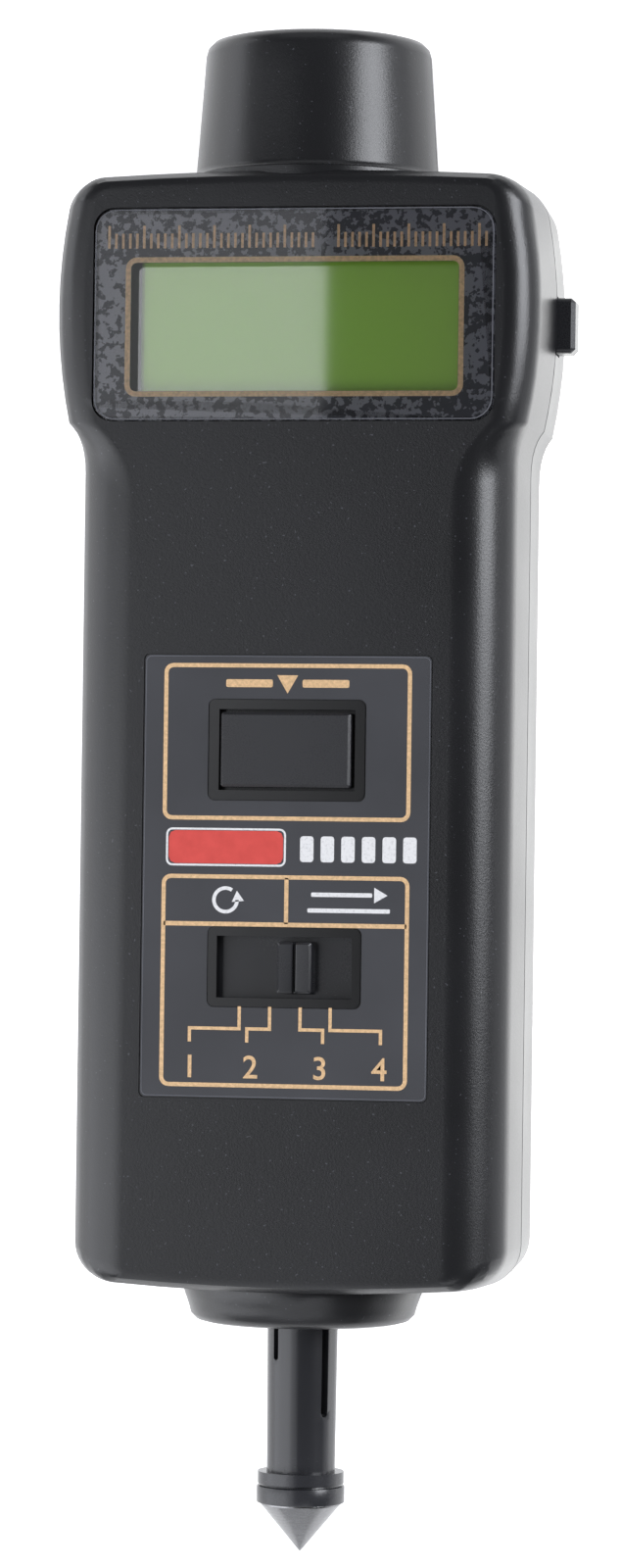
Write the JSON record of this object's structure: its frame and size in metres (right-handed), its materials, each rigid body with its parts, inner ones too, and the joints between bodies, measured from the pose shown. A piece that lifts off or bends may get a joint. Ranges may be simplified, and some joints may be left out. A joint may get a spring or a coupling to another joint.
{
  "type": "digital tachometer",
  "caption": "Hand-held digital tachometer with a shouldered display head, a light snout at one end and a slotted contact cone on a spinning shaft at the other.",
  "frame": {"origin": "on the flat back, on the long axis, behind the widest part of the head", "axes": "+Y along the case towards the light snout, -Y towards the contact cone, +Z out of the display face, +X to the reader's right"},
  "size_m": [0.072, 0.215, 0.0392],
  "materials": {
    "black_plastic": "satin",
    "key_plastic": "satin",
    "clear_panel": "clear",
    "mask_film": "gloss",
    "label_film": "satin",
    "display_glass": "gloss",
    "grey_plastic": "matte",
    "soft_rubber": "matte",
    "board_green": "gloss",
    "chip_black": "matte",
    "bright_steel": "bright",
    "barrel_plastic": "matte",
    "clear_lens": "clear",
    "lamp_lens": "gloss",
    "sensor_lens": "gloss",
    "shaft_steel": "bright",
    "disc_plastic": "matte",
    "bush_brass": "satin",
    "sleeve_plastic": "satin",
    "cone_steel": "turned",
    "cell_can": "satin",
    "screw_steel": "satin"
  },
  "bodies": {
    "case": {"front_case": "black_plastic", "rear_case": "black_plastic", "window_panel": "clear_panel", "window_mask": "mask_film", "control_label": "label_film", "lcd_glass": "display_glass", "lcd_frame": "grey_plastic", "upper_strip": "soft_rubber", "lower_strip": "soft_rubber", "main_board": "board_green", "side_board": "board_green", "sensor_board": "board_green", "pickup_board": "board_green", "controller_chip": "chip_black", "photo_interrupter": "chip_black", "crystal": "bright_steel", "key_switch": "chip_black", "side_switch": "chip_black", "slide_switch": "bright_steel", "lens_holder": "barrel_plastic", "lens_retainer": "barrel_plastic", "lens": "clear_lens", "lamp": "lamp_lens", "photo_sensor": "sensor_lens", "front_bush": "bush_brass", "rear_bush": "bush_brass", "bearing_bracket": "grey_plastic", "positive_contact": "bright_steel", "negative_contact": "bright_steel", "bridge_contact": "bright_steel", "battery_1": "cell_can", "case_screw_1": "screw_steel", "board_screw_1": "screw_steel", "battery_2": "cell_can", "case_screw_2": "screw_steel", "board_screw_2": "screw_steel", "battery_3": "cell_can", "case_screw_3": "screw_steel", "battery_4": "cell_can", "case_screw_4": "screw_steel"},
    "contact_drive": {"contact_shaft": "shaft_steel", "shaft_clip": "bright_steel", "encoder_disc": "disc_plastic"},
    "adapter": {"adapter_sleeve": "sleeve_plastic", "tip_ring": "sleeve_plastic", "cone_tip": "cone_steel"},
    "memory_button": {"memory_key": "key_plastic", "key_plunger": "grey_plastic"},
    "light_button": {"side_key": "key_plastic", "side_plunger": "grey_plastic"},
    "range_slider": {"switch_cap": "key_plastic", "switch_lever": "grey_plastic"},
    "back_cover": {"battery_cover": "black_plastic"}
  },
  "joints": [
    {"name": "shaft_spin", "type": "hinge", "parent": "case", "child": "contact_drive", "pos_m": [0, -0.13, 0.019], "axis": [0, -1, 0], "continuous": true},
    {"name": "adapter_pull", "type": "slide", "parent": "contact_drive", "child": "adapter", "axis": [0, -1, 0], "range_m": [0, 0.016]},
    {"name": "memory_press", "type": "slide", "parent": "case", "child": "memory_button", "axis": [0, 0, -1], "range_m": [0, 0.001], "stiffness_N_per_m": 600, "springref_m": -0.0006},
    {"name": "light_press", "type": "slide", "parent": "case", "child": "light_button", "axis": [-1, 0, 0], "range_m": [0, 0.001], "stiffness_N_per_m": 600, "springref_m": -0.0006},
    {"name": "range_slide", "type": "slide", "parent": "case", "child": "range_slider", "axis": [1, 0, 0], "range_m": [-0.006, 0.003]},
    {"name": "cover_slide", "type": "slide", "parent": "case", "child": "back_cover", "axis": [0, -1, 0], "range_m": [0, 0.11]}
  ]
}
